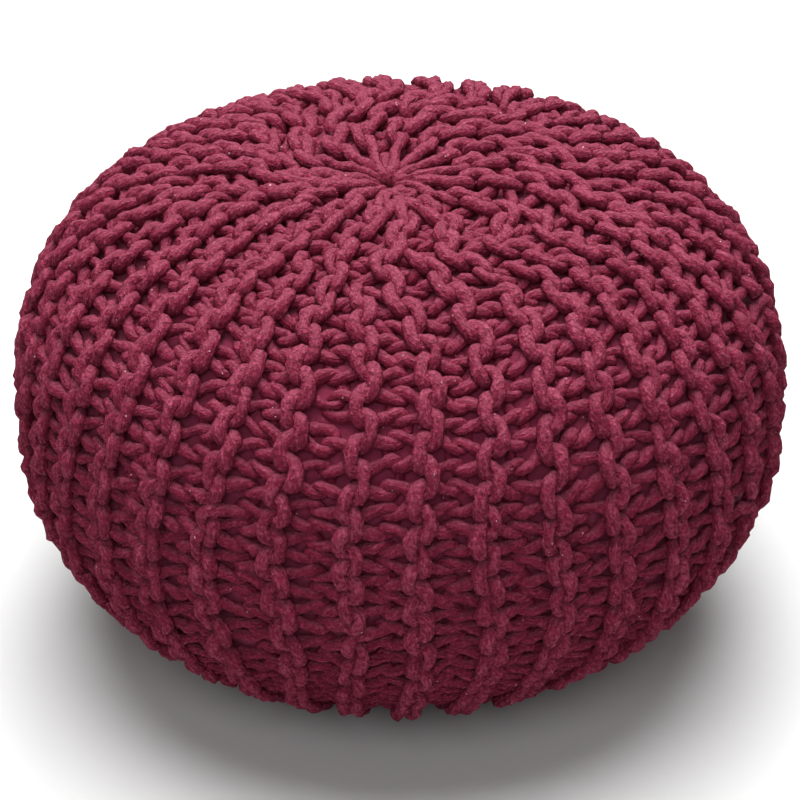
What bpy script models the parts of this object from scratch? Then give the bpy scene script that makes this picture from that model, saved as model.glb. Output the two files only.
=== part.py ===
"""Knitted pouf: a stuffed round casing inside a thick hand-knit cover.

The cover is one piece of garter stitch whose ridges run from crown to base,
gathered to a small hole at the crown and to a wider one under the foot.
Units are metres, +Z is up, and the pouf stands on z = 0 with the centre of
its foot near the origin.
"""

import math

import bpy

# ---------------------------------------------------------------- dimensions
DIAMETER = 0.508        # across the crests of the ridges
HEIGHT = 0.3457         # to the rim of the crown, above its dimple
EQUATOR_Z = 0.1643      # height of the widest girth
SINK = 0.0141           # how far the round belly would reach below the floor
SHOULDER_POWER = 3.05   # superellipse power above the girth: full shoulders
BELLY_POWER = 2.0       # and below it: a plain ellipse

CROWN_DIMPLE = 0.0125   # depth of the gather at the crown
DIMPLE_REACH = 0.045    # its radius
CROWN_SHIFT = -0.0080   # the gather sits a little to one side (along X)
SHIFT_REACH = 0.090     # and draws this much of the crown with it
BELLY_LEAN = -0.0045    # the belly sags a little to the same side

COVER_THICK = 0.0190    # crest to back of the knit
FOOT_THICK = 0.0150     # the knit pressed flat under the foot
CASING_GAP = 0.0015     # clearance between cover and casing

RIDGES = 36             # knit ridges round the girth
FURROW = 0.0050         # how deep the furrows lie below the crests
SHORT_ROW_R = 0.120     # ridges gather and fade inside this radius at the crown
FOOT_FADE_Z = 0.030     # and are pressed flat below this height

CROWN_HOLE_R = 0.0060   # drawn-up hole at the crown
BASE_HOLE_R = 0.0120    # drawn-up hole under the foot

STEPS = 2 * RIDGES      # one line of points on each crest, one in each furrow
OUTER_RINGS = 26
INNER_RINGS = 18
CASING_RINGS = 18


# ------------------------------------------------------------------- profile
def girth(depth, t):
    """Point of the pouf's section, `depth` inside its crests.

    t runs from pi/2 at the crown, through 0 at the girth, to -pi/2 under the
    foot. Returns (radius, height).
    """
    radius = DIAMETER / 2 - depth
    side, rise = abs(math.cos(t)), abs(math.sin(t))
    if t >= 0:
        power = 2 / SHOULDER_POWER
        r = radius * side ** power
        z = EQUATOR_Z + (HEIGHT - depth - EQUATOR_Z) * rise ** power
        z -= CROWN_DIMPLE * math.exp(-((r / DIMPLE_REACH) ** 2))
    else:
        power = 2 / BELLY_POWER
        r = radius * side ** power
        z = EQUATOR_Z - (EQUATOR_Z + SINK - depth) * rise ** power
    return r, z


def floor_angle(depth, floor):
    """The t at which the section `depth` inside meets the height `floor`."""
    rise = (EQUATOR_Z - floor) / (EQUATOR_Z + SINK - depth)
    return -math.asin(min(1.0, rise ** (BELLY_POWER / 2)))


def angle_at_radius(depth, wanted):
    """The t near the crown at which the section has the wanted radius."""
    radius = DIAMETER / 2 - depth
    return math.acos((wanted / radius) ** (SHOULDER_POWER / 2))


def even_section(depth, first, last, count):
    """count points between two angles, evenly spaced along the section."""
    fine = 600
    path = [girth(depth, first + (last - first) * i / fine) for i in range(fine + 1)]
    run = [0.0]
    for a, b in zip(path, path[1:]):
        run.append(run[-1] + math.dist(a, b))
    points, j = [], 0
    for i in range(count):
        want = run[-1] * i / (count - 1)
        while j < fine - 1 and run[j + 1] < want:
            j += 1
        share = (want - run[j]) / max(run[j + 1] - run[j], 1e-12)
        points.append(tuple(p + (q - p) * share for p, q in zip(path[j], path[j + 1])))
    return points


def cover_section():
    """Closed section of the knit: down its outside, in under the foot, back up."""
    outer = even_section(
        0.0, angle_at_radius(0.0, CROWN_HOLE_R), floor_angle(0.0, 0.0), OUTER_RINGS
    )
    foot_r = outer[-1][0]
    outer[-1] = (foot_r, 0.0)
    under = [(foot_r * k / 3 + BASE_HOLE_R * (3 - k) / 3, 0.0) for k in (2, 1, 0)]
    inner = even_section(
        COVER_THICK,
        angle_at_radius(COVER_THICK, CROWN_HOLE_R),
        floor_angle(COVER_THICK, FOOT_THICK),
        INNER_RINGS,
    )
    inner_foot_r = inner[-1][0]
    inner[-1] = (inner_foot_r, FOOT_THICK)
    above = [
        (inner_foot_r * k / 3 + BASE_HOLE_R * (3 - k) / 3, FOOT_THICK) for k in (0, 1, 2)
    ]
    return outer, under, above, inner[::-1]


def casing_section():
    """Open section of the stuffed casing, from the axis at the top to the axis below."""
    depth = COVER_THICK + CASING_GAP
    floor = FOOT_THICK + CASING_GAP
    side = even_section(depth, math.pi / 2, floor_angle(depth, floor), CASING_RINGS)
    side[0] = (0.0, side[0][1])
    foot_r = side[-1][0]
    side[-1] = (foot_r, floor)
    return side + [(foot_r / 2, floor), (0.0, floor)]


# ------------------------------------------------------------------ modelling
def turned(name, section, closed):
    """A mesh object turned about Z from a section of (radius, height) points."""
    mesh = bpy.data.meshes.new(name + "_section")
    edges = [(i, i + 1) for i in range(len(section) - 1)]
    if closed:
        edges.append((len(section) - 1, 0))
    mesh.from_pydata([(r, 0.0, z) for r, z in section], edges, [])
    guide = bpy.data.objects.new(name + "_section", mesh)
    bpy.context.scene.collection.objects.link(guide)
    screw = guide.modifiers.new("Turn", "SCREW")
    screw.axis = "Z"
    screw.angle = 2 * math.pi
    screw.steps = STEPS
    screw.render_steps = STEPS
    screw.use_merge_vertices = True
    screw.merge_threshold = 0.00002
    bpy.context.view_layer.update()
    graph = bpy.context.evaluated_depsgraph_get()
    solid = bpy.data.meshes.new_from_object(guide.evaluated_get(graph), depsgraph=graph)
    solid.name = name
    bpy.data.objects.remove(guide)
    bpy.data.meshes.remove(mesh)
    return bpy.data.objects.new(name, solid)


def smooth_step(x):
    x = min(1.0, max(0.0, x))
    return x * x * (3 - 2 * x)


def flute(obj, outer):
    """Presses a furrow between each pair of neighbouring ridges, on the outside only."""
    outside = {(round(r, 5), round(z, 5)) for r, z in outer}
    for v in obj.data.vertices:
        r = math.hypot(v.co.x, v.co.y)
        if (round(r, 5), round(v.co.z, 5)) not in outside:
            continue
        step = round(math.atan2(v.co.y, v.co.x) / (2 * math.pi) * STEPS)
        if step % 2 == 0:
            continue
        depth = FURROW
        if v.co.z > EQUATOR_Z:
            depth *= smooth_step(r / SHORT_ROW_R - 0.2)
        else:
            depth *= smooth_step(v.co.z / FOOT_FADE_Z)
        upward = (v.co.z - EQUATOR_Z) / HEIGHT
        slope = math.hypot(r / DIAMETER, upward)
        v.co.x -= depth * v.co.x / r * (r / DIAMETER) / slope
        v.co.y -= depth * v.co.y / r * (r / DIAMETER) / slope
        v.co.z -= depth * upward / slope


def settle(obj):
    """Draws the crown aside towards its gather, and lets the belly sag the same way."""
    for v in obj.data.vertices:
        r = math.hypot(v.co.x, v.co.y)
        high = smooth_step((v.co.z - EQUATOR_Z) / (0.5 * (HEIGHT - EQUATOR_Z)))
        low = smooth_step((EQUATOR_Z - v.co.z) / EQUATOR_Z)
        v.co.x += CROWN_SHIFT * high * math.exp(-((r / SHIFT_REACH) ** 2))
        v.co.x += BELLY_LEAN * low


def finish(obj, collection, colour, roughness):
    material = bpy.data.materials.new(obj.name)
    material.use_nodes = True
    shader = material.node_tree.nodes["Principled BSDF"]
    shader.inputs["Base Color"].default_value = (*colour, 1.0)
    shader.inputs["Roughness"].default_value = roughness
    shader.inputs["Metallic"].default_value = 0.0
    obj.data.materials.append(material)
    obj.data.shade_smooth()
    obj.data.set_sharp_from_angle(angle=math.radians(50))
    collection.objects.link(obj)


def main():
    for old in list(bpy.data.objects):
        bpy.data.objects.remove(old)
    parts = bpy.data.collections.new("knitted_pouf")
    bpy.context.scene.collection.children.link(parts)

    # The knit cover: one ring-like shell, open at the crown and under the foot.
    outer, under, above, inner = cover_section()
    cover = turned("knit_cover", outer + under + above + inner, closed=True)
    flute(cover, outer)
    settle(cover)
    finish(cover, parts, (0.238, 0.022, 0.056), 0.92)

    # The stuffed casing that fills it and shows between the strands.
    casing = turned("inner_casing", casing_section(), closed=False)
    settle(casing)
    finish(casing, parts, (0.110, 0.018, 0.042), 0.70)


main()
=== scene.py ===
"""Looks of the knitted pouf: every strand of its garter-stitch cover, its lacing
seam and gathers, and the casing that shows between them. Metres, +Z up."""

import math

import bpy
import numpy as np
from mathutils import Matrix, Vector


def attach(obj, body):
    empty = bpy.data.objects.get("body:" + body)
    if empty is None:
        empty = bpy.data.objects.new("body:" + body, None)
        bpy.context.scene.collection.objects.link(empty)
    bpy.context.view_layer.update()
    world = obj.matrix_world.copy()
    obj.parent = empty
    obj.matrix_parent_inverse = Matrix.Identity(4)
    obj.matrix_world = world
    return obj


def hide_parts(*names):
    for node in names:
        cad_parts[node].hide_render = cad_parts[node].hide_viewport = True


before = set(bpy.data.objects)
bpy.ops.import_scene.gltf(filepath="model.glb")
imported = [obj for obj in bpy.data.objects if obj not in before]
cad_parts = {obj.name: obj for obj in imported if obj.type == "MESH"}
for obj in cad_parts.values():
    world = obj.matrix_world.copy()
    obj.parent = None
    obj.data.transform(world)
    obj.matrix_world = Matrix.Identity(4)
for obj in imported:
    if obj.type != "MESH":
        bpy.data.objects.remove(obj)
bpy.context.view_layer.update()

# ---------------------------------------------------------------- dimensions
# The pouf's section, as its solids have it.
DIAMETER = 0.508
HEIGHT = 0.3457
EQUATOR_Z = 0.1643
SINK = 0.0141
SHOULDER_POWER = 3.05
BELLY_POWER = 2.0
CROWN_DIMPLE = 0.0125
DIMPLE_REACH = 0.045
CROWN_SHIFT = -0.0080
SHIFT_REACH = 0.090
BELLY_LEAN = -0.0045

BACK = 0.0195  # depth of the back of the knit below its crests
FOOT_BACK = 0.0150  # and under the foot

# The cord, soft enough to swell in the open arcs and to narrow in the taut legs.
ARC_RADIUS = 0.0044
LEG_RADIUS = 0.0036
PRESSED = 0.74  # share of two radii that is left between cords that touch

# The knit.
RIDGES = 36
STITCHES = 23
LAP = 0.0109  # how far the arcs of one row reach into the next
NECK = 0.185  # how far a loop narrows at its neck, in stitches
POINTS = 20  # points of a stitch while it settles
SEAM_AT = math.radians(-42.0)  # azimuth of the lacing seam, 0 at the front
CROWN_GATHER = 0.045  # the drawn-up strands at the crown reach out to here
BASE_GATHER = 0.050


# ------------------------------------------------------------------- surface
def smooth_step(x):
    x = np.clip(x, 0.0, 1.0)
    return x * x * (3 - 2 * x)


def section(depth, floor, count=2400):
    """(r, z) down the pouf's side, from the axis at the crown to the axis below."""
    t = np.linspace(math.pi / 2, -math.pi / 2, count)
    side, rise = np.abs(np.cos(t)), np.abs(np.sin(t))
    radius = DIAMETER / 2 - depth
    up = t >= 0
    r = np.where(up, radius * side ** (2 / SHOULDER_POWER), radius * side ** (2 / BELLY_POWER))
    z_up = EQUATOR_Z + (HEIGHT - depth - EQUATOR_Z) * rise ** (2 / SHOULDER_POWER)
    z_up = z_up - CROWN_DIMPLE * np.exp(-((r / DIMPLE_REACH) ** 2))
    z_low = EQUATOR_Z - (EQUATOR_Z + SINK - depth) * rise ** (2 / BELLY_POWER)
    z = np.where(up, z_up, np.maximum(z_low, floor))
    return r, z


class Surface:
    """The back of the knit, charted by azimuth a, length s down the side, and height h."""

    def __init__(self):
        r, z = section(BACK, FOOT_BACK)
        run = np.concatenate([[0], np.cumsum(np.hypot(np.diff(r), np.diff(z)))])
        self.length = run[-1]
        self.s = np.linspace(0, self.length, 1600)
        self.r = np.interp(self.s, run, r)
        self.z = np.interp(self.s, run, z)
        step = self.s[1] - self.s[0]
        # Rounded a little, so that the normals turn smoothly at the foot's edge.
        half = int(0.014 / step)
        w = np.hanning(2 * half + 1)
        w /= w.sum()
        r_pad = np.concatenate([-self.r[half:0:-1], self.r, -self.r[-2 : -half - 2 : -1]])
        z_pad = np.concatenate([self.z[half:0:-1], self.z, self.z[-2 : -half - 2 : -1]])
        rs = np.convolve(r_pad, w, "valid")
        zs = np.convolve(z_pad, w, "valid")
        tr, tz = np.gradient(rs, step), np.gradient(zs, step)
        size = np.hypot(tr, tz)
        self.tr, self.tz = tr / size, tz / size
        self.nr, self.nz = -self.tz, self.tr
        self.r, self.z = np.maximum(rs, 0), zs

    def at(self, s):
        return [np.interp(s, self.s, x) for x in (self.r, self.z, self.nr, self.nz)]

    def frames(self, a, s):
        nr, nz = np.interp(s, self.s, self.nr), np.interp(s, self.s, self.nz)
        ca, sa = np.cos(a), np.sin(a)
        zero = np.zeros_like(a)
        e_a = np.stack([ca, sa, zero], 1)
        e_s = np.stack([nz * sa, -nz * ca, -nr], 1)
        e_n = np.stack([nr * sa, -nr * ca, nz], 1)
        return e_a, e_s, e_n

    def place(self, a, s, h):
        r, z, nr, nz = self.at(s)
        rr, zz = r + h * nr, z + h * nz
        x, y = rr * np.sin(a), -rr * np.cos(a)
        high = smooth_step((zz - EQUATOR_Z) / (0.5 * (HEIGHT - EQUATOR_Z)))
        low = smooth_step((EQUATOR_Z - zz) / EQUATOR_Z)
        x = x + CROWN_SHIFT * high * np.exp(-((rr / SHIFT_REACH) ** 2)) + BELLY_LEAN * low
        return np.stack([x, y, zz], 1)

    def depth(self, s):
        """How thick the knit is at s."""
        return BACK + (FOOT_BACK - BACK) * smooth_step((s - 0.530) / 0.040)


SURFACE = Surface()
BELLY_S = SURFACE.s[SURFACE.r.argmax()]  # s at the widest girth
PITCH = (SURFACE.length - CROWN_GATHER - BASE_GATHER) / STITCHES

# ---------------------------------------------------------------- knit layout
# Short rows: after how many stitches from the crown a ridge starts, and how many
# before the foot it ends. Ridge by ridge, repeated.
FIRST_STITCHES = (
    (0, 3, 0, 4, 1, 3, 0, 4, 0, 2, 0, 4, 0, 3, 0, 2, 0, 3)
    + (0, 4, 0, 2, 0, 3, 2, 4, 0, 3, 0, 2, 1, 4, 0, 3, 2, 1)
)
LAST_STITCHES = (2, 0, 1, 0, 2, 0, 1, 1, 2, 0, 1, 0, 2, 0, 2, 0, 1, 0)
# Ridges whose cord is drawn in to the gathered hole at the crown.
DRAWN = (0, 2, 4, 6, 8, 10, 12, 14, 16, 18, 20, 22, 26, 28, 30, 32)


def uneven(count, seed, size):
    """One seeded number for each stitch, about size large."""
    return np.clip(np.random.default_rng(seed).normal(0, size, count), -2.2 * size, 2.2 * size)


def warp(a, s):
    """The slow unevenness of a hand-knit cover: how far a point is off, across and along."""
    rng = np.random.default_rng(11)
    across, along = np.zeros_like(a), np.zeros_like(a)
    for k in range(12):
        turns, length = int(rng.integers(1, 14)), rng.uniform(0.11, 0.40)
        p = rng.uniform(0, 2 * math.pi, 2)
        size = 0.0011 if turns > 6 else 0.0016
        across += size * np.sin(turns * a + 2 * math.pi * s / length + p[0])
        along += 1.1 * size * np.sin((turns + 1) * a - 2 * math.pi * s / length + p[1])
    calm = smooth_step((s - 0.030) / 0.060) * smooth_step((SURFACE.length - 0.04 - s) / 0.06)
    return across * calm, along * calm


class Ridge:
    def __init__(self, i):
        self.first = FIRST_STITCHES[i % len(FIRST_STITCHES)]
        self.last = STITCHES - LAST_STITCHES[i % len(LAST_STITCHES)]
        self.start = CROWN_GATHER + self.first * PITCH
        self.end = CROWN_GATHER + self.last * PITCH

    def share(self, s):
        """How much of the girth the ridge claims at s, 1 where it is whole."""
        out = np.ones_like(s)
        if self.first > 0:
            out = out * smooth_step((s - self.start + 0.7 * PITCH) / (1.9 * PITCH))
        if self.last < STITCHES:
            out = out * smooth_step((self.end - s + 0.7 * PITCH) / (2.6 * PITCH))
        return out


RIDGE = [Ridge(i) for i in range(RIDGES)]
_S = np.linspace(0, SURFACE.length, 500)
_SHARES = np.array([g.share(_S) for g in RIDGE])
_WIDTH = _SHARES / _SHARES.sum(0) * 2 * math.pi
_EDGE = SEAM_AT + np.concatenate([np.zeros((1, len(_S))), np.cumsum(_WIDTH, 0)])


def ridge_line(i, s):
    """Azimuths at s of ridge i's left edge, middle and right edge."""
    left = np.interp(s, _S, _EDGE[i])
    right = np.interp(s, _S, _EDGE[i + 1])
    return left, (left + right) / 2, right


class Chain:
    """A length of cord in the chart: a, s, h, its radius, whether it may move, and how hard
    it keeps its place."""

    def __init__(self, a, s, h, radius, free=1.0, home=0.012):
        n = len(a)
        self.a, self.s, self.h = (np.array(x, float) for x in (a, s, h))
        self.radius = np.broadcast_to(np.asarray(radius, float), n).copy()
        self.free = np.broadcast_to(np.asarray(free, float), n).copy()
        self.home = np.broadcast_to(np.asarray(home, float), n).copy()

    def turned(self):
        return Chain(*(x[::-1] for x in (self.a, self.s, self.h, self.radius, self.free, self.home)))

    @staticmethod
    def joined(chains):
        names = ("a", "s", "h", "radius", "free", "home")
        return Chain(*(np.concatenate([getattr(c, k) for c in chains]) for k in names))


def lay_row(i, side):
    """Row of ridge i before it settles. side 0 lies left of the ridge, with its heads in
    front on the ridge; side 1 lies right of it, with its feet in front."""
    g = RIDGE[i]
    n = g.last - g.first
    theta = np.arange(n * POINTS + 1) / POINTS * 2 * math.pi
    stitch = theta / (2 * math.pi)
    knot = np.arange(-1, n + 2)
    seed = 1000 + 20 * i + 10 * side

    def by_stitch(k, size, offset=0.0):
        return np.interp(stitch + offset, knot, uneven(len(knot), seed + k, size))

    neck = NECK * (1 + by_stitch(0, 0.10))
    s = g.start + stitch * PITCH + neck * PITCH * np.sin(2 * theta) + by_stitch(1, 0.0010)
    left, mid, right = ridge_line(i, s)
    r, _, nr, _ = SURFACE.at(s)
    r = np.maximum(r + 0.009 * nr, 0.02)
    wide = (right - left) * r
    lap = LAP * (0.60 + 0.40 * np.clip(wide / 0.0425, 0, 1.05))
    front = lap / 2 * (1 + by_stitch(2, 0.13, 0.5 if side == 0 else 0.0))
    back = lap / 2 * (1 + by_stitch(3, 0.07))
    if side == 0:
        a0, a1 = left - back / r, mid + front / r
    else:
        a0, a1 = mid - front / r, right + back / r
    a = (a0 + a1) / 2 - (a1 - a0) / 2 * np.cos(theta)
    z = 0.0042 * np.cos(theta) + 0.0015 * np.cos(3 * theta)
    z = z if side == 1 else -z
    deep = SURFACE.depth(s)
    h = (0.0093 + z) * deep / BACK
    lead = 0.5 - 0.5 * np.cos(theta) if side == 0 else 0.5 + 0.5 * np.cos(theta)
    radius = LEG_RADIUS + (ARC_RADIUS - LEG_RADIUS) * smooth_step((lead - 0.25) / 0.65)
    radius = radius * (1 + by_stitch(4, 0.035)) * (0.86 + 0.14 * np.clip(wide / 0.036, 0, 1))
    # Below the girth the cord is under more strain, and thinner.
    radius = radius * (1 - (0.22 - 0.12 * lead) * smooth_step((s - BELLY_S) / 0.110))
    across, along = warp(a, s)
    return Chain(a + across / r, s + along, h, radius)


def turn(start, end, i, reach):
    """The cord's turn between the ends of a ridge's two rows. reach is along s."""
    u = np.linspace(0, 1, 8)[1:-1]
    a = start.a + (end.a - start.a) * smooth_step(u)
    s = start.s + (end.s - start.s) * u + reach * np.sin(math.pi * u)
    h = start.h + (end.h - start.h) * smooth_step(u)
    radius = start.radius + (end.radius - start.radius) * u
    return Chain(a, s, h, radius * 0.95)


class End:
    """One end point of a row."""

    def __init__(self, chain, k):
        self.a, self.s, self.h, self.radius = chain.a[k], chain.s[k], chain.h[k], chain.radius[k]


DRAWN_LOW = [i for i in range(RIDGES) if RIDGE[i].last == STITCHES]

# Gathered strands at the crown: height over the knit's back at a distance from the axis.
# The upper strands come from the ridges' crests, the lower ones from the valleys.
REACH = (0.0110, 0.0160, 0.0240, 0.0350, 0.0450)
UPPER = (0.0156, 0.0162, 0.0160, 0.0155, 0.0154)
LOWER = (0.0000, 0.0068, 0.0094, 0.0078, 0.0045)
# The upper strands then turn down round the hole's rim and back out beneath it:
# distance from the axis, and how far below the rim.
RIM = ((0.0092, 0.0012), (0.0078, 0.0032), (0.0072, 0.0054), (0.0078, 0.0074), (0.0096, 0.0087), (0.0124, 0.0093))
# The gather leans towards the front a little, so that the hole looks that way.
LEAN = 0.0024


# Every third strand slips under its neighbours before it reaches the hole. The others
# spread out evenly round it.
TUCKED = DRAWN[2::3]


def gather_shift():
    """Azimuths of the strands that reach the hole, and how far each is drawn aside there."""
    lines = np.array([ridge_line(i, np.array([0.030]))[1][0] for i in DRAWN if i not in TUCKED])
    even = np.arange(len(lines)) * 2 * math.pi / len(lines)
    even = even + (lines - even).mean()
    lines, shift = lines, even - lines
    return (
        np.concatenate([lines[-1:] - 2 * math.pi, lines, lines[:1] + 2 * math.pi]),
        np.concatenate([shift[-1:], shift, shift[:1]]),
    )


GATHER = gather_shift()


def crown_strand(i, end, upper):
    """From the end of a row inwards, over the rim and down into the gathered hole."""
    rng = np.random.default_rng(500 + 2 * i + upper)
    s = np.concatenate([np.arange(end.s - 0.0048, 0.0122, -0.0048), [0.0110]])
    rim = np.zeros(len(s))
    if upper and i not in TUCKED:
        s = np.concatenate([s, [p[0] for p in RIM]])
        rim = np.concatenate([rim, [p[1] for p in RIM]])
    order = DRAWN.index(i)
    left, mid, _ = ridge_line(i, s)
    line = mid if upper else left
    first = ridge_line(i, np.array([end.s]))
    shift = end.a - (first[1] if upper else first[0])[0]
    fade = np.clip((s - 0.004) / (end.s - 0.004), 0, 1)
    bow = rng.uniform(-1, 1) * 0.0016 * np.sin(math.pi * fade) / np.maximum(s, 0.012)
    # The strands are not drawn in quite evenly.
    close = rng.uniform(-1, 1) * 0.12 * (1 - fade) ** 2
    close = close + np.interp(line, *GATHER) * smooth_step((0.036 - s) / 0.022)
    a = line + shift * fade ** 1.5 + bow + close
    h = np.interp(s, REACH, UPPER if upper else LOWER) - rim
    h = h - LEAN * np.cos(a) * smooth_step((0.032 - s) / 0.022)
    under = i in TUCKED
    tuck = 0.0115 * smooth_step((0.024 - s) / 0.012) if under else 0.0014 * (order % 2) * smooth_step((0.020 - s) / 0.010)
    h = h - (tuck if upper else 0) + rng.uniform(-0.0006, 0.0006)
    room = math.pi * s / (len(DRAWN) - len(TUCKED))
    top = (0.0032 if upper else 0.0036) + 0.0010 * smooth_step((s - 0.012) / 0.030)
    radius = np.clip(room * 1.30, 0.0019, top * (1 + rng.uniform(-0.06, 0.06)))
    free = np.where(s > 0.028, 1.0, 0.0)
    return Chain(a, s, h, radius, free, 0.06)


LOW_REACH = (0.0040, 0.0060, 0.0085, 0.0120, 0.0200, 0.0300, 0.0500)
LOW_UPPER = (-0.0060, 0.0000, 0.0060, 0.0095, 0.0108, 0.0112, 0.0115)
LOW_LOWER = (-0.0080, -0.0060, -0.0010, 0.0020, 0.0035, 0.0040, 0.0040)


def foot_strand(i, end, upper):
    """The same under the foot, pressed flat."""
    rng = np.random.default_rng(700 + 2 * i + upper)
    out = SURFACE.length - end.s
    d = np.concatenate([np.arange(out - 0.0048, 0.0125, -0.0048), [0.0105, 0.0088, 0.0072, 0.0058, 0.0046]])
    s = SURFACE.length - d
    left, mid, _ = ridge_line(i, s)
    line = mid if upper else left
    first = ridge_line(i, np.array([end.s]))
    shift = end.a - (first[1] if upper else first[0])[0]
    fade = np.clip((d - 0.004) / (out - 0.004), 0, 1)
    a = line + shift * fade ** 1.5 + rng.uniform(-1, 1) * 0.08 * (1 - fade) ** 2
    h = np.interp(d, LOW_REACH, LOW_UPPER if upper else LOW_LOWER)
    radius = np.clip(math.pi * d / len(DRAWN_LOW) * 1.35, 0.0018, 0.0037 if upper else 0.0032)
    return Chain(a, s, h, radius, np.where(d > 0.030, 1.0, 0.0), 0.06)


def lay_ridge(i):
    """The cord of one ridge: up its left row, over, and down its right row."""
    g = RIDGE[i]
    left, right = lay_row(i, 0), lay_row(i, 1)
    l0, l1, r0, r1 = End(left, 0), End(left, -1), End(right, 0), End(right, -1)
    drawn, drawn_low = i in DRAWN, i in DRAWN_LOW
    top_left = crown_strand(i, l0, False) if drawn else None
    top_right = crown_strand(i, r0, True) if drawn else None
    low_left = foot_strand(i, l1, False) if drawn_low else None
    low_right = foot_strand(i, r1, True) if drawn_low else None
    over = None if drawn else turn(l0, r0, i, -0.011)
    under = None if drawn_low else turn(r1, l1, i, 0.011)
    if drawn and drawn_low:
        return [
            Chain.joined([low_left.turned(), left.turned(), top_left]),
            Chain.joined([top_right.turned(), right, low_right]),
        ]
    if drawn:
        return [Chain.joined([top_right.turned(), right, under, left.turned(), top_left])]
    if drawn_low:
        return [Chain.joined([low_left.turned(), left.turned(), over, right, low_right])]
    ring = Chain.joined([left.turned(), over, right, under])
    close = Chain(ring.a[:1], ring.s[:1], ring.h[:1], ring.radius[:1])
    return [Chain.joined([ring, close])]


def lay_lacing():
    """The cord that laces the two edges of the cover together, down the seam."""
    t = np.arange(0, (SURFACE.length - 0.036 - 0.030) / PITCH, 1 / 12)
    s = 0.030 + t * PITCH
    line = ridge_line(0, s)[0]
    r, _, nr, _ = SURFACE.at(s)
    r = np.maximum(r + 0.009 * nr, 0.02)
    side = 0.0072 * np.sin(2 * math.pi * t)
    h = (0.0078 + 0.0022 * np.cos(4 * math.pi * t)) * SURFACE.depth(s) / BACK
    across, along = warp(line, s)
    return Chain(line + (side + across) / r, s + along, h, 0.0030, 1.0, 0.05)


# The tied end of the gathering cord in front of the hole: (x, towards the front, h), mm.
KNOT = (
    (2.0, 20.0, 13.0), (2.0, 26.0, 17.0), (3.0, 33.0, 19.5), (7.0, 39.0, 21.8), (12.5, 40.0, 22.6),
    (17.5, 36.5, 22.8), (17.5, 31.5, 23.2), (12.5, 28.5, 24.0), (6.5, 29.0, 25.0), (1.5, 32.5, 24.4),
    (-1.5, 38.0, 22.0), (-2.0, 45.0, 16.5), (-2.0, 50.0, 11.0),
)


def lay_knot():
    x, y, h = (np.array(v) / 1000 for v in zip(*KNOT))
    t, u = np.arange(len(x)), np.arange(0, len(x) - 0.999, 1 / 3)
    smooth = [np.interp(u, t, v) for v in (x, y, h)]
    for _ in range(3):
        smooth = [np.concatenate([v[:1], (v[:-2] + 2 * v[1:-1] + v[2:]) / 4, v[-1:]]) for v in smooth]
    x, y, h = smooth
    return Chain(np.arctan2(x, y), np.hypot(x, y), h, 0.0026, 0.0, 0.06)

# ------------------------------------------------------------------- settling
def close_pairs(p, reach):
    """All index pairs i < j whose points are nearer than reach."""
    cell = np.floor((p - p.min(0)) / reach).astype(np.int64) + 1
    span = cell.max(0) + 2
    key = (cell[:, 0] * span[1] + cell[:, 1]) * span[2] + cell[:, 2]
    order = np.argsort(key, kind="stable")
    uniq, first, count = np.unique(key[order], return_index=True, return_counts=True)
    found = []
    for dx in (-1, 0, 1):
        for dy in (-1, 0, 1):
            for dz in (-1, 0, 1):
                want = key + (dx * span[1] + dy) * span[2] + dz
                at = np.searchsorted(uniq, want)
                at = np.minimum(at, len(uniq) - 1)
                n = np.where(uniq[at] == want, count[at], 0)
                i = np.repeat(np.arange(len(p)), n)
                ramp = np.arange(n.sum()) - np.repeat(np.cumsum(n) - n, n)
                j = order[np.repeat(first[at], n) + ramp]
                keep = i < j
                i, j = i[keep], j[keep]
                near = ((p[i] - p[j]) ** 2).sum(1) < reach * reach
                found.append(np.stack([i[near], j[near]]))
    return np.concatenate(found, 1)


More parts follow.
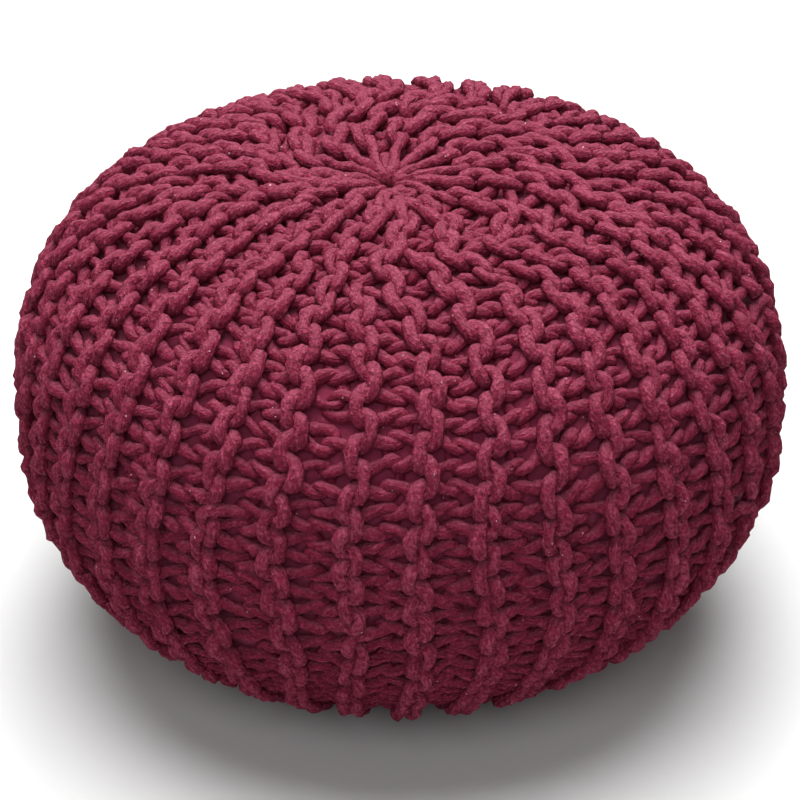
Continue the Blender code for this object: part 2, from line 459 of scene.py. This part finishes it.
def settle(chains, rounds=150):
    """Lets the cords tighten round each other, in place."""
    sizes = [len(c.a) for c in chains]
    whole = Chain.joined(chains)
    a, s, h, radius, free, home = whole.a, whole.s, whole.h, whole.radius, whole.free, whole.home
    row = np.repeat(np.arange(len(chains)), sizes)
    n = len(a)
    here = np.arange(n)
    before = np.where((here > 0) & (np.roll(row, 1) == row), here - 1, here)
    after = np.where((here < n - 1) & (np.roll(row, -1) == row), here + 1, here)
    end = (before == here) | (after == here)
    free = np.where(end, 0.0, free)
    a_home, s_home, h_home = a.copy(), s.copy(), h.copy()
    for step in range(rounds):
        p = SURFACE.place(a, s, h)
        if step % 12 == 0:
            i, j = close_pairs(p, ARC_RADIUS * 1.96)
            keep = (row[i] != row[j]) | (np.abs(i - j) > 4)
            i, j = i[keep], j[keep]
            reach = (radius[i] + radius[j]) * PRESSED
        gap = p[i] - p[j]
        far = np.sqrt((gap ** 2).sum(1)) + 1e-9
        push = np.maximum(reach - far, 0) * 0.5 / far
        push = gap * push[:, None] * 0.7
        move = np.zeros((n, 3))
        for k in range(3):
            move[:, k] = np.bincount(i, push[:, k], n) - np.bincount(j, push[:, k], n)
        size = np.sqrt((move ** 2).sum(1))
        move *= (np.minimum(size, 0.002) / (size + 1e-12))[:, None]
        e_a, e_s, e_n = SURFACE.frames(a, s)
        r = np.maximum(np.interp(s, SURFACE.s, SURFACE.r) + h * np.interp(s, SURFACE.s, SURFACE.nr), 0.01)
        tight = 0.10 if step < rounds * 0.7 else 0.04
        da = (a[before] + a[after]) / 2 - a
        ds = (s[before] + s[after]) / 2 - s
        dh = (h[before] + h[after]) / 2 - h
        # Bending: the same difference once more, so that arcs stay round.
        ba = da - (da[before] + da[after]) / 2
        bs = ds - (ds[before] + ds[after]) / 2
        bh = dh - (dh[before] + dh[after]) / 2
        stiff = 0.25
        a = a + free * (tight * da + stiff * ba + home * (a_home - a) + (move * e_a).sum(1) / r)
        s = s + free * (tight * ds + stiff * bs + home * (s_home - s) + (move * e_s).sum(1))
        h = h + free * (tight * dh + stiff * bh + 0.3 * home * (h_home - h) + (move * e_n).sum(1))
        top = SURFACE.depth(s) - radius
        low = np.where(free > 0, radius * 0.94, -1.0)
        h = np.maximum(h, low)
        h = np.where(h > top, top + (h - top) * 0.6, h)
    at = 0
    for c, m in zip(chains, sizes):
        c.a, c.s, c.h = a[at : at + m], s[at : at + m], h[at : at + m]
        at += m

# ---------------------------------------------------------------------- tubes
def resample(p, spacing):
    """Points of a smooth curve through p (n, 3) about spacing apart, their distance along
    it, and where they lie in p's numbering."""
    n, m = len(p), 6
    pad = np.concatenate([2 * p[:1] - p[1:2], p, 2 * p[-1:] - p[-2:-1]])
    t = np.linspace(0, 1, m, endpoint=False)[None, :, None]
    p0, p1, p2, p3 = (pad[k : k + n - 1, None] for k in range(4))
    fine = 0.5 * (
        2 * p1 + (p2 - p0) * t + (2 * p0 - 5 * p1 + 4 * p2 - p3) * t ** 2 + (3 * p1 - p0 - 3 * p2 + p3) * t ** 3
    )
    fine = np.concatenate([fine.reshape(-1, 3), p[-1:]])
    run = np.concatenate([[0], np.cumsum(np.sqrt((np.diff(fine, axis=0) ** 2).sum(1)))])
    count = max(4, int(round(run[-1] / spacing)) + 1)
    want = np.linspace(0, run[-1], count)
    q = np.stack([np.interp(want, run, fine[:, k]) for k in range(3)], 1)
    return q, want, np.interp(want, run, np.arange(len(fine)) / m)


def sweep(p, sides):
    """Directions of the ring points round the curve p: (n, sides, 3), turning least."""
    t = np.gradient(p, axis=0)
    t /= np.sqrt((t ** 2).sum(1))[:, None] + 1e-12
    u = np.zeros_like(p)
    first = np.cross(t[0], [0.0, 0.0, 1.0])
    if np.linalg.norm(first) < 0.1:
        first = np.cross(t[0], [1.0, 0.0, 0.0])
    u[0] = first / np.linalg.norm(first)
    for k in range(1, len(p)):
        v = u[k - 1] - t[k] * (u[k - 1] @ t[k])
        u[k] = v / math.sqrt(v @ v)
    w = np.cross(t, u)
    ang = np.arange(sides) / sides * 2 * math.pi
    return u[:, None] * np.cos(ang)[None, :, None] + w[:, None] * np.sin(ang)[None, :, None], ang


class Strands:
    """Collects swept cords into one mesh."""

    def __init__(self, sides, spacing, seed):
        self.sides, self.spacing = sides, spacing
        self.rng = np.random.default_rng(seed)
        self.v, self.f, self.yarn, self.tint, self.crest, self.caps = [], [], [], [], [], []
        self.count = 0

    def add(self, chain):
        p, run, index = resample(SURFACE.place(chain.a, chain.s, chain.h), self.spacing)
        at = np.arange(len(chain.a))
        radius = np.interp(index, at, chain.radius)
        rays, ang = sweep(p, self.sides)
        out = SURFACE.frames(np.interp(index, at, chain.a), np.interp(index, at, chain.s))[2]
        crest = np.interp(index, at, chain.h)[:, None] + radius[:, None] * (rays * out[:, None]).sum(2)
        n, m = len(p), self.sides
        # Soft lumps, so that no length of cord is a plain tube.
        rough = self.rng.normal(0, 1, (n, m))
        fine = rough
        rough = (rough + np.roll(rough, 1, 1) + np.roll(rough, -1, 1)) / 3
        rough[1:-1] = (rough[:-2] + 1.4 * rough[1:-1] + rough[2:]) / 3.4
        slow = np.interp(run, np.arange(0, run[-1] + 0.06, 0.03), self.rng.normal(0, 0.025, len(np.arange(0, run[-1] + 0.06, 0.03))))
        size = radius[:, None] * (1 + 0.40 * rough + 0.080 * fine + slow[:, None])
        rings = p[:, None] + rays * size[..., None]
        k = np.arange(n * m).reshape(n, m) + self.count
        nxt = np.roll(k, -1, 1)
        self.v.append(rings.reshape(-1, 3))
        self.f.append(np.stack([k[:-1], nxt[:-1], nxt[1:], k[1:]], -1).reshape(-1, 4))
        self.caps += [k[0][::-1].copy(), k[-1].copy()]
        ca, sa = np.cos(ang), np.sin(ang)
        start = self.rng.uniform(0, 3)
        yarn = np.stack([np.tile(ca, (n, 1)), np.tile(sa, (n, 1)), np.repeat((run + start)[:, None], m, 1)], -1)
        self.yarn.append(yarn.reshape(-1, 3))
        knots = np.arange(0, run[-1] + 0.18, 0.09)
        tint = np.interp(run, knots, self.rng.uniform(0, 1, len(knots)))
        self.tint.append(np.repeat(tint, m))
        self.crest.append(np.clip(crest / BACK, 0, 1).ravel())
        self.count += n * m

    def build(self, name, material):
        v = np.concatenate(self.v)
        v[:, 2] = np.maximum(v[:, 2], 0.0)
        quads = np.concatenate(self.f)
        loops = np.concatenate([quads.ravel()] + self.caps)
        sizes = np.concatenate([np.full(len(quads), 4), [len(c) for c in self.caps]])
        mesh = bpy.data.meshes.new(name)
        mesh.vertices.add(len(v))
        mesh.vertices.foreach_set("co", v.astype(np.float32).ravel())
        mesh.loops.add(len(loops))
        mesh.loops.foreach_set("vertex_index", loops.astype(np.int32))
        mesh.polygons.add(len(sizes))
        mesh.polygons.foreach_set("loop_start", (np.cumsum(sizes) - sizes).astype(np.int32))
        mesh.update(calc_edges=True)
        mesh.validate()
        mesh.shade_smooth()
        y = mesh.attributes.new("yarn", "FLOAT_VECTOR", "POINT")
        y.data.foreach_set("vector", np.concatenate(self.yarn).astype(np.float32).ravel())
        for key, values in (("tint", self.tint), ("crest", self.crest)):
            t = mesh.attributes.new(key, "FLOAT", "POINT")
            t.data.foreach_set("value", np.concatenate(values).astype(np.float32))
        mesh.materials.append(material)
        obj = bpy.data.objects.new(name, mesh)
        bpy.context.scene.collection.objects.link(obj)
        return obj

# ------------------------------------------------------------------ materials
class Graph:
    """A material's nodes, made by short calls. Each returns the node's output."""

    def __init__(self, name):
        self.material = bpy.data.materials.new(name)
        self.material.use_nodes = True
        self.tree = self.material.node_tree
        self.tree.nodes.clear()
        self.out = self.node("ShaderNodeOutputMaterial")
        self.bsdf = self.node("ShaderNodeBsdfPrincipled")
        self.tree.links.new(self.bsdf.outputs["BSDF"], self.out.inputs["Surface"])

    def node(self, kind, **values):
        n = self.tree.nodes.new(kind)
        n.location = (180 * (len(self.tree.nodes) % 12), -220 * (len(self.tree.nodes) // 12))
        for k, v in values.items():
            setattr(n, k, v)
        return n

    def put(self, socket, value):
        if isinstance(value, bpy.types.NodeSocket):
            self.tree.links.new(value, socket)
        else:
            socket.default_value = value

    def math(self, operation, *values):
        n = self.node("ShaderNodeMath", operation=operation)
        for socket, value in zip(n.inputs, values):
            self.put(socket, value)
        return n.outputs[0]

    def add(self, *values):
        total = values[0]
        for v in values[1:]:
            total = self.math("ADD", total, v)
        return total

    def times(self, a, b):
        return self.math("MULTIPLY", a, b)

    def attribute(self, name, output):
        return self.node("ShaderNodeAttribute", attribute_name=name).outputs[output]

    def split(self, vector):
        n = self.node("ShaderNodeSeparateXYZ")
        self.put(n.inputs[0], vector)
        return n.outputs[0], n.outputs[1], n.outputs[2]

    def vector(self, x, y, z):
        n = self.node("ShaderNodeCombineXYZ")
        for socket, value in zip(n.inputs, (x, y, z)):
            self.put(socket, value)
        return n.outputs[0]

    def noise(self, vector, scale, detail=2.0, roughness=0.5, distortion=0.0):
        n = self.node("ShaderNodeTexNoise", noise_dimensions="3D")
        self.put(n.inputs["Vector"], vector)
        n.inputs["Scale"].default_value = scale
        n.inputs["Detail"].default_value = detail
        n.inputs["Roughness"].default_value = roughness
        n.inputs["Distortion"].default_value = distortion
        return n.outputs["Fac"]

    def cells(self, vector, scale):
        n = self.node("ShaderNodeTexVoronoi", voronoi_dimensions="3D", feature="F1")
        self.put(n.inputs["Vector"], vector)
        n.inputs["Scale"].default_value = scale
        return n.outputs["Distance"]

    def range(self, value, low, high, to_low, to_high, smooth=True):
        n = self.node("ShaderNodeMapRange", interpolation_type="SMOOTHSTEP" if smooth else "LINEAR", clamp=True)
        for socket, v in zip(n.inputs, (value, low, high, to_low, to_high)):
            self.put(socket, v)
        return n.outputs[0]

    def ramp(self, value, stops):
        n = self.node("ShaderNodeValToRGB")
        n.color_ramp.interpolation = "LINEAR"
        points = n.color_ramp.elements
        while len(points) < len(stops):
            points.new(0.5)
        for e, (at, colour) in zip(points, stops):
            e.position = at
            e.color = (*colour, 1.0)
        self.put(n.inputs["Fac"], value)
        return n.outputs["Color"]

    def mix(self, factor, a, b, blend="MIX"):
        n = self.node("ShaderNodeMix", data_type="RGBA", blend_type=blend)
        self.put(n.inputs[0], factor)
        for socket, v in ((n.inputs[6], a), (n.inputs[7], b)):
            self.put(socket, v if isinstance(v, bpy.types.NodeSocket) else (*v, 1.0))
        return n.outputs[2]

    def bump(self, height, distance, strength):
        n = self.node("ShaderNodeBump")
        n.inputs["Strength"].default_value = strength
        n.inputs["Distance"].default_value = distance
        self.put(n.inputs["Height"], height)
        self.put(self.bsdf.inputs["Normal"], n.outputs["Normal"])


def cord_material():
    """Soft matt cotton cord: a small irregular plait of strands, fibres that run with
    them, hollows of the plait darkened as painted shade, pale flecks, and nap along the edges.
    Its crests and up-facing sides are lightened as painted highlight, its deep parts as painted fill light."""
    g = Graph("knit_cord")
    x, y, along = g.split(g.attribute("yarn", "Vector"))
    tint = g.attribute("tint", "Fac")
    crest = g.attribute("crest", "Fac")
    place = g.node("ShaderNodeTexCoord").outputs["Object"]
    angle = g.math("ARCTAN2", y, x)

    wander = g.times(g.add(g.noise(place, 210, 2.0, 0.6), -0.5), 5.0)
    wander_2 = g.times(g.add(g.noise(g.vector(along, x, y), 95, 1.0), -0.5), 4.0)
    run = g.times(along, 2 * math.pi / 0.0088)
    around = g.times(angle, 4.0)
    plait = g.times(g.math("SINE", g.add(around, run, wander)), g.math("SINE", g.add(around, g.times(run, -1.0), wander_2)))
    painted_pit_shade = g.range(plait, -0.95, -0.05, 1.0, 0.0)
    # Its plies lie side by side and turn slowly.
    stray = g.times(g.add(g.noise(place, 160, 2.0, 0.6), -0.5), 8.0)
    plies = g.math("SINE", g.add(g.times(angle, 9.0), g.times(along, 2 * math.pi / 0.046), stray))

    twist = g.add(angle, g.times(along, 2 * math.pi / 0.075))
    lane = g.vector(g.times(g.math("COSINE", twist), 0.0042), g.times(g.math("SINE", twist), 0.0042), g.times(along, 0.34))
    fibres = g.noise(lane, 1000, 3.0, 0.65, 0.8)
    strands = g.noise(lane, 520, 1.5, 0.5, 1.2)
    grain = g.noise(place, 1150, 3.0, 0.70)
    patches = g.noise(place, 26, 3.0, 0.55)
    clots = g.noise(place, 350, 2.5, 0.60)

    shade = g.add(
        0.49,
        g.range(fibres, 0.50, 0.68, 0.0, 0.26),
        g.range(fibres, 0.34, 0.48, -0.20, 0.0),
        g.times(g.add(strands, -0.5), 0.80),
        g.times(g.add(clots, -0.5), 1.45),
        # painted highlight: the knit's crests are lightened
        g.range(crest, 0.55, 1.0, -0.04, 0.12),
        g.times(plies, 0.030),
        g.times(g.add(grain, -0.5), 0.85),
        g.times(g.add(patches, -0.5), 0.32),
        g.times(g.add(tint, -0.5), 0.12),
        # painted shade: the hollows of the plait are darkened
        g.times(painted_pit_shade, -0.10),
    )
    colour = g.ramp(
        shade,
        [(0.0, (0.112, 0.0040, 0.0175)), (0.28, (0.170, 0.0078, 0.0290)), (0.55, (0.246, 0.0150, 0.0490)), (1.0, (0.430, 0.074, 0.136))],
    )
    # Painted fill light: deep in the knit the colour is lightened, against the shade that falls there.
    colour = g.mix(g.range(crest, 0.05, 0.75, 0.42, 0.0, False), colour, (0.390, 0.022, 0.076))
    colour = g.mix(g.range(crest, 0.0, 0.42, 0.60, 0.0, False), colour, (0.560, 0.044, 0.130))
    # Painted highlight: where the cord faces up its colour is paled, as light from above would.
    up = g.split(g.node("ShaderNodeNewGeometry").outputs["Normal"])[2]
    colour = g.mix(g.range(up, 0.48, 1.0, 0.0, 0.32), colour, (0.470, 0.122, 0.192))
    # Tiny pale flecks of bare cotton, here and there.
    fleck = g.times(g.range(g.cells(place, 88), 0.035, 0.062, 1.0, 0.0), g.range(g.noise(place, 900, 1.0), 0.34, 0.46, 0.0, 1.0))
    colour = g.mix(g.times(fleck, 0.85), colour, (0.93, 0.60, 0.66))
    g.put(g.bsdf.inputs["Base Color"], colour)
    g.put(g.bsdf.inputs["Roughness"], g.range(fibres, 0.3, 0.7, 0.96, 0.80))
    g.bsdf.inputs["Specular IOR Level"].default_value = 0.06
    g.bsdf.inputs["Sheen Weight"].default_value = 0.10
    g.bsdf.inputs["Sheen Roughness"].default_value = 0.50
    g.bsdf.inputs["Sheen Tint"].default_value = (1.0, 0.30, 0.42, 1.0)
    height = g.add(g.times(plait, 0.22), g.times(plies, 0.10), g.times(fibres, 0.70), g.times(strands, 0.90), g.times(clots, 2.60), g.times(grain, 0.60))
    g.bump(height, 0.0028, 1.0)
    return g.material


def casing_material():
    """Plain-woven cotton of the inner bag, duller and greyer than the cord."""
    g = Graph("casing_cloth")
    x, y, down = g.split(g.attribute("cloth", "Vector"))
    swell = g.attribute("swell", "Fac")
    place = g.node("ShaderNodeTexCoord").outputs["Object"]
    angle = g.math("ARCTAN2", y, x)
    wander = g.times(g.add(g.noise(place, 120, 2.0), -0.5), 2.0)
    warp_thread = g.math("SINE", g.add(g.times(angle, 1400.0), wander))
    weft_thread = g.math("SINE", g.add(g.times(down, 2 * math.pi / 0.0011), wander))
    weave = g.times(warp_thread, weft_thread)
    patches = g.noise(place, 34, 3.0, 0.55)
    grain = g.noise(place, 900, 2.0, 0.6)
    shade = g.add(0.5, g.times(weave, 0.12), g.times(g.add(patches, -0.5), 0.70), g.times(g.add(grain, -0.5), 1.00))
    colour = g.ramp(shade, [(0.0, (0.070, 0.0070, 0.0190)), (0.5, (0.125, 0.0140, 0.0350)), (1.0, (0.200, 0.036, 0.068))])
    # Painted fill light: where the bag lies deep between the cords its colour is lightened against the shade there.
    colour = g.mix(g.range(swell, 0.0, 0.8, 0.70, 0.0, False), colour, (0.460, 0.044, 0.120))
    fleck = g.range(g.cells(place, 140), 0.050, 0.090, 1.0, 0.0)
    colour = g.mix(g.times(fleck, 0.60), colour, (0.74, 0.44, 0.50))
    g.put(g.bsdf.inputs["Base Color"], colour)
    g.put(g.bsdf.inputs["Roughness"], g.range(grain, 0.3, 0.7, 0.86, 0.68))
    g.bsdf.inputs["Specular IOR Level"].default_value = 0.12
    g.bsdf.inputs["Sheen Weight"].default_value = 0.04
    g.bsdf.inputs["Sheen Roughness"].default_value = 0.5
    g.bump(g.add(g.times(weave, 0.35), g.times(grain, 0.9), g.times(patches, 0.8)), 0.0009, 0.9)
    return g.material

# --------------------------------------------------------------------- casing
AROUND = 440
DOWN = 200
SWELL = 0.0126  # how far the casing swells between the cords


def casing_heights(chains):
    """The casing's height over the back of the knit, (DOWN + 1, AROUND). The filled bag
    presses outwards: it touches the cords from inside and swells in the openings."""
    s_at = np.linspace(0, SURFACE.length, DOWN + 1)
    a_at = np.arange(AROUND) / AROUND * 2 * math.pi
    cell_s, cell_a = s_at[1], a_at[1]
    r_at = SURFACE.at(s_at)[0]
    room = np.full((DOWN + 1, AROUND), SWELL)
    a, s, h, radius = [], [], [], []
    for c in chains:
        u = np.arange(0, len(c.a) - 1, 0.4)
        at = np.arange(len(c.a))
        for out, x in ((a, c.a), (s, c.s), (h, c.h), (radius, c.radius)):
            out.append(np.interp(u, at, x))
    a, s, h, radius = (np.concatenate(x) for x in (a, s, h, radius))
    r = np.interp(s, s_at, r_at)
    keep = r > 0.045
    a, s, h, radius, r = (x[keep] for x in (a, s, h, radius, r))
    row, column = np.rint(s / cell_s).astype(int), np.rint(a / cell_a).astype(int)
    for i in range(-2, 3):
        for j in range(-7, 8):
            near = np.abs(j) * cell_a * r < radius + cell_a * r
            k, m = row[near] + i, column[near] + j
            inside = (k >= 0) & (k <= DOWN)
            k, m = k[inside], m[inside]
            pick = [x[near][inside] for x in (a, s, h, radius, r)]
            off = ((m * cell_a - pick[0]) * pick[4]) ** 2 + (k * cell_s - pick[1]) ** 2
            wide = pick[3] * 0.96
            under = off < wide ** 2
            low = pick[2] - np.sqrt(np.maximum(wide ** 2 - off, 0)) - 0.0002
            np.minimum.at(room, (k[under], m[under] % AROUND), low[under])
    # Over the seam's loops the bag lies deeper, and it is drawn in under both gathers.
    seam = np.interp(s_at, _S, _EDGE[0])[:, None]
    off = np.abs((a_at[None] - seam + math.pi) % (2 * math.pi) - math.pi) * r_at[:, None]
    room = np.minimum(room, -0.0012 + 0.006 * smooth_step((off - 0.012) / 0.012))
    calm = smooth_step((r_at - 0.045) / 0.020)[:, None]
    base = -0.0012 - 0.0045 * (1 - calm)
    room = room * calm + base * (1 - calm)
    height = np.maximum(room, base)
    for _ in range(8):
        pad = np.vstack([height[:1], height, height[-1:]])
        blur = (pad[:-2] + pad[2:] + np.roll(height, 1, 1) + np.roll(height, -1, 1) + 2 * height) / 6
        height = np.minimum(np.maximum(room, base), blur + 0.0009)
    from_axis = s_at[:, None]
    height = height - 0.026 * np.exp(-((from_axis / 0.0085) ** 2))
    return height - 0.010 * np.exp(-(((SURFACE.length - from_axis) / 0.0100) ** 2))


def casing(material, chains):
    height = casing_heights(chains)
    s = np.linspace(0, SURFACE.length, DOWN + 1)
    a = np.arange(AROUND) / AROUND * 2 * math.pi
    aa, ss = np.meshgrid(a, s[1:-1])
    p = SURFACE.place(aa.ravel(), ss.ravel(), height[1:-1].ravel())
    poles = SURFACE.place(np.array([0.0, 0.0]), s[[0, -1]], height[[0, -1], 0])
    v = np.concatenate([p, poles])
    v[:, 2] = np.maximum(v[:, 2], 0.0004)
    rows = len(s) - 2
    k = np.arange(rows * AROUND).reshape(rows, AROUND)
    nxt = np.roll(k, -1, 1)
    quads = np.stack([k[:-1], k[1:], nxt[1:], nxt[:-1]], -1).reshape(-1, 4)
    top, low = rows * AROUND, rows * AROUND + 1
    caps = np.concatenate(
        [
            np.stack([np.full(AROUND, top), k[0], nxt[0]], 1),
            np.stack([np.full(AROUND, low), nxt[-1], k[-1]], 1),
        ]
    )
    mesh = bpy.data.meshes.new("casing_bag")
    loops = np.concatenate([quads.ravel(), caps.ravel()])
    sizes = np.concatenate([np.full(len(quads), 4), np.full(len(caps), 3)])
    mesh.vertices.add(len(v))
    mesh.vertices.foreach_set("co", v.astype(np.float32).ravel())
    mesh.loops.add(len(loops))
    mesh.loops.foreach_set("vertex_index", loops.astype(np.int32))
    mesh.polygons.add(len(sizes))
    mesh.polygons.foreach_set("loop_start", (np.cumsum(sizes) - sizes).astype(np.int32))
    mesh.update(calc_edges=True)
    mesh.validate()
    mesh.shade_smooth()
    cloth = np.concatenate(
        [np.stack([np.cos(aa.ravel()), np.sin(aa.ravel()), ss.ravel()], 1), [[1, 0, s[0]], [1, 0, s[-1]]]]
    )
    c = mesh.attributes.new("cloth", "FLOAT_VECTOR", "POINT")
    c.data.foreach_set("vector", cloth.astype(np.float32).ravel())
    w = mesh.attributes.new("swell", "FLOAT", "POINT")
    swell = np.concatenate([height[1:-1].ravel(), height[[0, -1], 0]]) / SWELL
    w.data.foreach_set("value", np.clip(swell, 0, 1).astype(np.float32))
    mesh.materials.append(material)
    obj = bpy.data.objects.new("casing_bag", mesh)
    bpy.context.scene.collection.objects.link(obj)
    return obj


# --------------------------------------------------------------------- pieces
SIDES = 9
SPACING = 0.0031
GROUPS = 5

chains = [c for i in range(RIDGES) for c in lay_ridge(i)]
chains.append(lay_lacing())
chains.append(lay_knot())
settle(chains)
cord = cord_material()
share = np.cumsum([len(c.a) for c in chains]) / sum(len(c.a) for c in chains)
for g in range(GROUPS):
    strands = Strands(SIDES, SPACING, 40 + g)
    for c, at in zip(chains, share):
        if min(int((at - 1e-9) * GROUPS), GROUPS - 1) == g:
            strands.add(c)
    piece = strands.build("knit_rows_%d" % (g + 1), cord)
    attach(piece, "root")
    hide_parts("knit_cover")
bag = casing(casing_material(), chains)
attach(bag, "root")
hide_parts("inner_casing")

# ------------------------------------------------------------ stage and light
floor_mesh = bpy.data.meshes.new("floor")
floor_mesh.from_pydata([(-30, -30, 0), (30, -30, 0), (30, 30, 0), (-30, 30, 0)], [], [(0, 1, 2, 3)])
floor = bpy.data.objects.new("floor", floor_mesh)
bpy.context.scene.collection.objects.link(floor)
floor_mat = bpy.data.materials.new("floor")
floor_mat.use_nodes = True
floor_mat.node_tree.nodes["Principled BSDF"].inputs["Base Color"].default_value = (0.58, 0.58, 0.58, 1)
floor_mat.node_tree.nodes["Principled BSDF"].inputs["Roughness"].default_value = 0.95
floor_mat.node_tree.nodes["Principled BSDF"].inputs["Specular IOR Level"].default_value = 0.1
floor_mesh.materials.append(floor_mat)

world = bpy.data.worlds.new("studio")
bpy.context.scene.world = world
world.use_nodes = True
world.node_tree.nodes["Background"].inputs["Color"].default_value = (1, 1, 1, 1)
world.node_tree.nodes["Background"].inputs["Strength"].default_value = 0.15


def area(name, at, size, power):
    lamp = bpy.data.lights.new(name, "AREA")
    lamp.shape = "DISK"
    lamp.size = size
    lamp.energy = power
    obj = bpy.data.objects.new(name, lamp)
    obj.location = at
    obj.rotation_euler = (Vector((0, 0, 0.15)) - Vector(at)).to_track_quat("-Z", "Y").to_euler()
    bpy.context.scene.collection.objects.link(obj)
    return obj


area("key", (-0.05, 0.15, 3.0), 2.8, 205)
area("front", (-0.25, -2.7, 2.3), 1.8, 44)
area("back", (0.2, 1.55, 2.6), 1.4, 26)

ELEVATION = math.radians(31)
DISTANCE = 8 * 0.252
FOCAL_PX = 379.4 * 8
camera = bpy.data.cameras.new("camera")
camera.sensor_width = 36.0
camera.sensor_fit = "HORIZONTAL"
camera.lens = FOCAL_PX * 36.0 / 800
camera.clip_start = 0.05
camera.clip_end = 100
view = bpy.data.objects.new("camera", camera)
look = Vector((0, 0, HEIGHT / 2))
view.location = look + Vector((0, -DISTANCE * math.cos(ELEVATION), DISTANCE * math.sin(ELEVATION)))
view.rotation_euler = (math.pi / 2 - ELEVATION, 0, 0)
camera.shift_y = -7.9 / 800
bpy.context.scene.collection.objects.link(view)
bpy.context.scene.camera = view

bpy.context.scene.view_settings.view_transform = "Standard"
